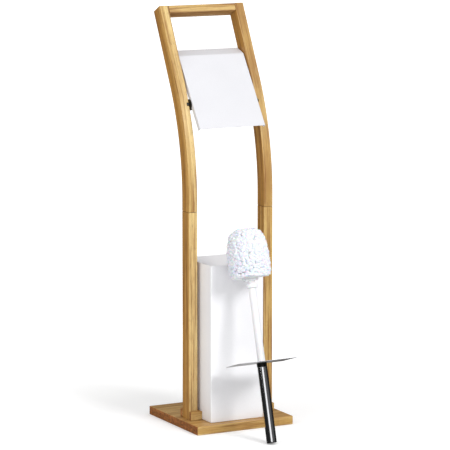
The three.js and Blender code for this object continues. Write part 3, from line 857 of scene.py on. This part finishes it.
def make_roller_end(side, body, spigot_radius):
    """A plug in the roller's end: a spigot in its tube, a disc and a pin in the post's socket."""
    low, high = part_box(f"roller_end_{side}")
    start, end = sorted((abs(low.x), abs(high.x)))
    disc_to = cover_half - sheet - room
    disc_from = disc_to - end_disc_height
    profile = rounded([
        (spigot_radius, start), (spigot_radius, disc_from), (end_disc_radius, disc_from),
        (end_disc_radius, disc_to), (pin_radius, disc_to), (pin_radius, end), (pinch, end)],
        0.5 * MM)
    roller_piece(f"{side}_abs_roller_end", profile, side, body, black_plastic,
                 f"roller_end_{side}")


def make_roller_socket(side):
    """A cup for the roller's pin: a flange on the post's inner face and a stub let into it."""
    profile = rounded([
        (socket_stub_radius, post_inner + socket_stub_length),
        (socket_stub_radius, post_inner - room), (socket_radius, post_inner - room),
        (socket_radius, cover_half + room), (socket_bore_radius, cover_half + room),
        (socket_bore_radius, post_inner + socket_bore_depth),
        (pinch, post_inner + socket_bore_depth)], 0.3 * MM)
    roller_piece(f"{side}_abs_roller_socket", profile, side, "stand",
                 black_plastic, f"{side}_roller_socket")


def make_spring():
    """The roller's coil spring."""
    low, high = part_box("roller_spring")
    bpy.ops.object.select_all(action="DESELECT")
    bpy.ops.mesh.primitive_circle_add(vertices=10, radius=spring_wire,
                                      location=((high.z - low.z) / 2 - spring_wire, 0, 0),
                                      rotation=(math.radians(90), 0, 0))
    spring = bpy.context.object
    spring.name = spring.data.name = "zinc_plated_roller_spring"
    bpy.ops.object.transform_apply()
    length = high.x - low.x - 2 * spring_wire
    change(spring, "SCREW", screw_offset=length / spring_turns, iterations=spring_turns,
           steps=24, render_steps=24)
    edit(spring)
    bpy.ops.mesh.select_all(action="SELECT")
    bpy.ops.mesh.fill_holes(sides=0)
    done()
    outward(spring)
    left_end = Vector((low.x, roller_axis.y, roller_axis.z))
    lay(spring, sideways(left_end + Vector((spring_wire, 0, 0)), "right"))
    hand_over(spring, "roller", zinc, "roller_spring")
    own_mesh(spring)


make_cover()
for hand in ("left", "right"):
    make_cover_screw(hand)
    make_cover_washer(hand)
    for number in (1, 2):
        keep(f"{hand}_post_dowel_{number}", dowel_wood)
        keep(f"{hand}_handle_dowel_{number}", dowel_wood)
for number in range(1, 5):
    keep(f"base_screw_{number}", zinc)
make_roller_tube("outer", roller_radius, "roller")
make_roller_tube("inner", sleeve_radius, "roller_sleeve")
for hand, part, spigot in (("left", "roller", 9.7 * MM), ("right", "roller_sleeve", 8.3 * MM)):
    make_roller_end(hand, part, spigot)
    make_roller_socket(hand)
make_spring()

# ---- brush ----------------------------------------------------------------------------------

# Distances along the brush from the end of its handle.
end_rim = 3 * MM
tube_from = 3.3 * MM
tube_to = 145.2 * MM
collar_from = 145.5 * MM
handle_length = 153.5 * MM
lid_top = 154.5 * MM
neck_from = 297 * MM
flange_from = 311 * MM
flange_top = 314.4 * MM
bristles_from = 316.5 * MM
bristles_widest = 332 * MM
bristles_top = 414 * MM
core_top = 392 * MM

plug_length = 12 * MM                 # of the cap and the collar, inside the handle's tube
rod_radius = 7.4 * MM
neck_radius = 10.6 * MM
neck_height = 8 * MM
flange_radius = 14.2 * MM
core_radius = 20 * MM
bristles_radius = 42.5 * MM           # where they are widest
skirt_taper = 0.1                     # share of the radius lost at the bristles' foot
dome_power = 3                        # the higher, the squarer the dome's shoulder
dome_bluntness = 0.28                 # the lower, the flatter the dome's crown

brush_axis = Vector((0, math.sin(brush_tilt), math.cos(brush_tilt)))
tube_low, tube_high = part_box("handle_tube")
brush_end = (tube_low + tube_high) / 2 - brush_axis * (tube_from + tube_to) / 2
brush_place = Matrix.Translation(brush_end) @ Matrix.Rotation(-brush_tilt, 4, "X")


def brush_piece(name, profile, material, stands_for, open_ends=False):
    piece = turned(name, profile, open_ends=open_ends)
    lay(piece, brush_place)
    hand_over(piece, "brush", material, stands_for)


def make_handle():
    inner = handle_radius - handle_wall - room
    plug_end = end_rim + plug_length
    cap = turned("chrome_handle_end_cap", [
        (pinch, 0), (handle_radius, 0), (handle_radius, end_rim), (inner, end_rim),
        (inner, plug_end), (pinch, plug_end)])
    ease(cap, 1.85 * MM, 6, lambda edge: on_level(edge, 0) and edge.verts[0].co.xy.length > inner)
    lay(cap, brush_place)
    hand_over(cap, "brush", chrome, "handle_end_cap")
    brush_piece("chrome_handle_tube",
                tube_profile(handle_radius, handle_wall, tube_from, tube_to, 0.3 * MM),
                chrome, "handle_tube", open_ends=True)
    plug_from = collar_from - plug_length
    bore_end = handle_length - stud_length - room
    brush_piece("abs_handle_collar", rounded([
        (pinch, plug_from), (inner, plug_from), (inner, collar_from),
        (handle_radius, collar_from), (handle_radius, handle_length - room),
        (stud_bore, handle_length - room), (stud_bore, bore_end), (pinch, bore_end)], 0.8 * MM),
        black_plastic, "handle_collar")


def make_lid():
    lid = block("stainless_lid_plate", (-lid_half, -lid_half, handle_length),
                (lid_half, lid_half, lid_top))
    edit(lid)
    pick(lid, "EDGE", lambda edge: (edge.verts[0].co - edge.verts[1].co).xy.length < speck)
    bpy.ops.mesh.bevel(offset=lid_corner, segments=5, affect="EDGES")
    done()
    ease(lid, 0.25 * MM, 2, lambda edge: on_level(edge, lid_top) or on_level(edge, handle_length))
    drill = turned("drill", [(stud_bore, handle_length - 50 * MM),
                             (stud_bore, handle_length + 50 * MM)], sides=32)
    cut(lid, drill)
    lay(lid, brush_place @ Matrix.Rotation(lid_turn, 4, "Z"))
    hand_over(lid, "brush", stainless, "lid_plate")


def make_rod():
    """The rod, with a stud at each end, and the flanged neck on its upper stud."""
    low_stud = handle_length - stud_length
    high_stud = neck_from + stud_length
    brush_piece("polypropylene_rod", rounded([
        (pinch, low_stud), (stud_radius, low_stud), (stud_radius, lid_top + room),
        (rod_radius, lid_top + room), (rod_radius, neck_from - room),
        (stud_radius, neck_from - room), (stud_radius, high_stud), (pinch, high_stud)],
        0.9 * MM), white_plastic, "brush_rod")
    neck_to = neck_from + neck_height
    brush_piece("polypropylene_neck", rounded([
        (pinch, high_stud + room), (stud_bore, high_stud + room), (stud_bore, neck_from),
        (neck_radius, neck_from), (neck_radius, neck_to), (rod_radius, neck_to),
        (rod_radius, flange_from), (flange_radius, flange_from), (flange_radius, flange_top),
        (pinch, flange_top)], 1.1 * MM), white_plastic, "brush_flange")


def dome_radius(s):
    """The bristle tips' distance from the axis."""
    if s < bristles_widest:
        part = (bristles_widest - s) / (bristles_widest - bristles_from)
        return bristles_radius * (1 - skirt_taper * part ** 2)
    part = min(1, (s - bristles_widest) / (bristles_top - bristles_widest))
    return bristles_radius * (1 - part ** dome_power) ** dome_bluntness


def core_radius_at(part):
    """The core's radius a part of the way up it: a barrel that stands on a straight foot."""
    return core_radius * math.sqrt(1 - (2 * max(part, 0.15) - 1) ** 2 * 0.9)


def make_core():
    start = flange_top + room
    rings = 20
    profile = []
    for n in range(rings):
        part = n / rings
        crown = 0.8 if part > 0.92 else 1
        profile.append((core_radius_at(part) * crown, start + (core_top - start) * part))
    profile.append((0.4 * MM, core_top))
    brush_piece("polypropylene_bristle_core", profile, white_plastic,
                "bristle_core")


def copy_of(piece, matrix):
    twin = piece.copy()
    twin.data = piece.data.copy()
    twin.data.transform(matrix)
    bpy.context.scene.collection.objects.link(twin)
    return twin


def join(pieces, name):
    bpy.ops.object.select_all(action="DESELECT")
    for piece in pieces:
        piece.select_set(True)
    bpy.context.view_layer.objects.active = pieces[0]
    bpy.ops.object.join()
    pieces[0].name = pieces[0].data.name = name
    return pieces[0]


def make_filament(length):
    """One crimped nylon filament, three-sided, bent and drawn to a point."""
    bpy.ops.object.select_all(action="DESELECT")
    bpy.ops.mesh.primitive_cone_add(vertices=3, radius1=0.6 * MM, radius2=0.25 * MM,
                                    depth=length, location=(0, 0, length / 2))
    thread = bpy.context.object
    bpy.ops.object.transform_apply()
    bend_at = 0.8 * length
    edit(thread)
    bpy.ops.mesh.select_all(action="SELECT")
    bpy.ops.mesh.bisect(plane_co=(0, 0, bend_at), plane_no=(0, 0, 1))
    pick(thread, "VERT", lambda v: abs(v.co.z - bend_at) < hair)
    bpy.ops.transform.translate(value=(0.7 * MM, 0.3 * MM, 0))
    done()
    return thread


def spot_at(turn, reach):
    """A spot square to Z, at an angle and a distance."""
    return Vector((math.cos(turn), math.sin(turn), 0)) * reach


def pointed_along(way, length):
    """The turn and the stretch that take a piece of a length from +Z to the end of a way."""
    turn_to = way.to_track_quat("Z", "Y").to_matrix().to_4x4()
    return turn_to, Matrix.Diagonal((1, 1, way.length / length, 1))


def make_tuft(filament, length, loose, chance):
    """A tuft: a dense middle of packed filaments, and loose ones that stand out round it."""
    middle = turned("packed_filaments", [
        (1.5 * MM, 0.15 * length), (3.7 * MM, 0.6 * length), (4.4 * MM, 0.87 * length),
        (3.3 * MM, 0.94 * length), (1.4 * MM, 0.96 * length)], sides=8)
    for vertex in middle.data.vertices:
        vertex.co.x += chance.uniform(-0.45, 0.45) * MM
        vertex.co.y += chance.uniform(-0.45, 0.45) * MM
        if vertex.co.z > 0.5 * length:
            vertex.co.z += chance.uniform(-1.0, 0.7) * MM
    threads = [middle]
    for _ in range(loose):
        turn = chance.uniform(0, 2 * math.pi)
        out = math.sqrt(chance.random())
        foot = spot_at(turn, out * 1.5 * MM)
        turn += chance.uniform(-0.6, 0.6)
        tip = spot_at(turn, out * 4.6 * MM)
        tip.z = length * chance.uniform(0.95, 1.0)
        turn_to, stretch = pointed_along(tip - foot, length)
        spin = Matrix.Rotation(chance.uniform(0, 2 * math.pi), 4, "Z")
        threads.append(copy_of(filament, Matrix.Translation(foot) @ turn_to @ stretch @ spin))
    return join(threads, "tuft")


def dome_line(steps):
    """Points down the bristles' outline, from the crown to the skirt, as (radius, distance)."""
    low = bristles_from + 1.5 * MM
    high = bristles_top - 1 * MM
    points = [Vector((0, high))]
    for n in range(steps + 1):
        s = high + (low - high) * n / steps
        points.append(Vector((dome_radius(s), s)))
    return points


def tuft_spots(spacing, chance):
    """Root and tip of each tuft, spread evenly but unruly over the dome."""
    line = dome_line(300)
    area = [0.0]
    for a, b in zip(line, line[1:]):
        area.append(area[-1] + math.pi * (a.x + b.x) * (b - a).length)
    count = round(area[-1] / spacing ** 2)
    golden = math.pi * (3 - math.sqrt(5))
    root_top, root_span = 0.97, 0.91      # as parts of the core's height
    root_depth = 0.75                     # as a part of the core's radius
    start = flange_top + room
    for n in range(count):
        want = area[-1] * (n + 0.5) / count
        at = next(k for k, sum_so_far in enumerate(area) if sum_so_far >= want)
        tip = line[at]
        turn = n * golden + chance.uniform(-0.35, 0.35) * spacing / max(tip.x, spacing)
        part = root_top - root_span * (n / count) ** 0.8
        root = spot_at(turn, core_radius_at(part) * root_depth)
        root.z = start + (core_top - start) * part
        yield root, spot_at(turn, tip.x) + Vector((0, 0, tip.y))


def keep_inside(vertex):
    """Trims a filament's point that sticks out of the bristles' outline."""
    vertex.co.z = min(max(vertex.co.z, bristles_from + room), bristles_top - room)
    limit = dome_radius(vertex.co.z) - room
    reach = vertex.co.xy.length
    if reach > limit:
        vertex.co.x *= limit / reach
        vertex.co.y *= limit / reach


def make_bristles():
    """Tufts of eight kinds, longer and shorter in soft lumps over the whole head."""
    chance = random.Random(11)
    length = 24 * MM
    spacing = 6.6 * MM
    lumps_per_metre = 110
    lumps_from = Vector((3, 1, 7))
    filament = make_filament(length)
    kinds = [make_tuft(filament, length, 9, chance) for _ in range(8)]
    tufts = []
    for root, tip in tuft_spots(spacing, chance):
        lump = noise.noise(tip * lumps_per_metre + lumps_from)
        reach = min(0.99, 0.95 + 0.07 * lump + chance.uniform(-0.015, 0.015))
        turn_to, stretch = pointed_along((tip - root) * reach, length)
        spin = Matrix.Rotation(chance.uniform(0, 2 * math.pi), 4, "Z")
        sway = Matrix.Rotation(chance.uniform(-0.1, 0.1), 4, "X")
        place = Matrix.Translation(root) @ turn_to @ sway @ stretch @ spin
        tufts.append(copy_of(chance.choice(kinds), place))
    head = join(tufts, "nylon_bristles")
    for piece in (filament, *kinds):
        bpy.data.objects.remove(piece)
    for vertex in head.data.vertices:
        keep_inside(vertex)
    lay(head, brush_place)
    hand_over(head, "brush", nylon, "bristles", smooth=60, flat_faces=False)


make_handle()
make_lid()
make_rod()
make_core()
make_bristles()
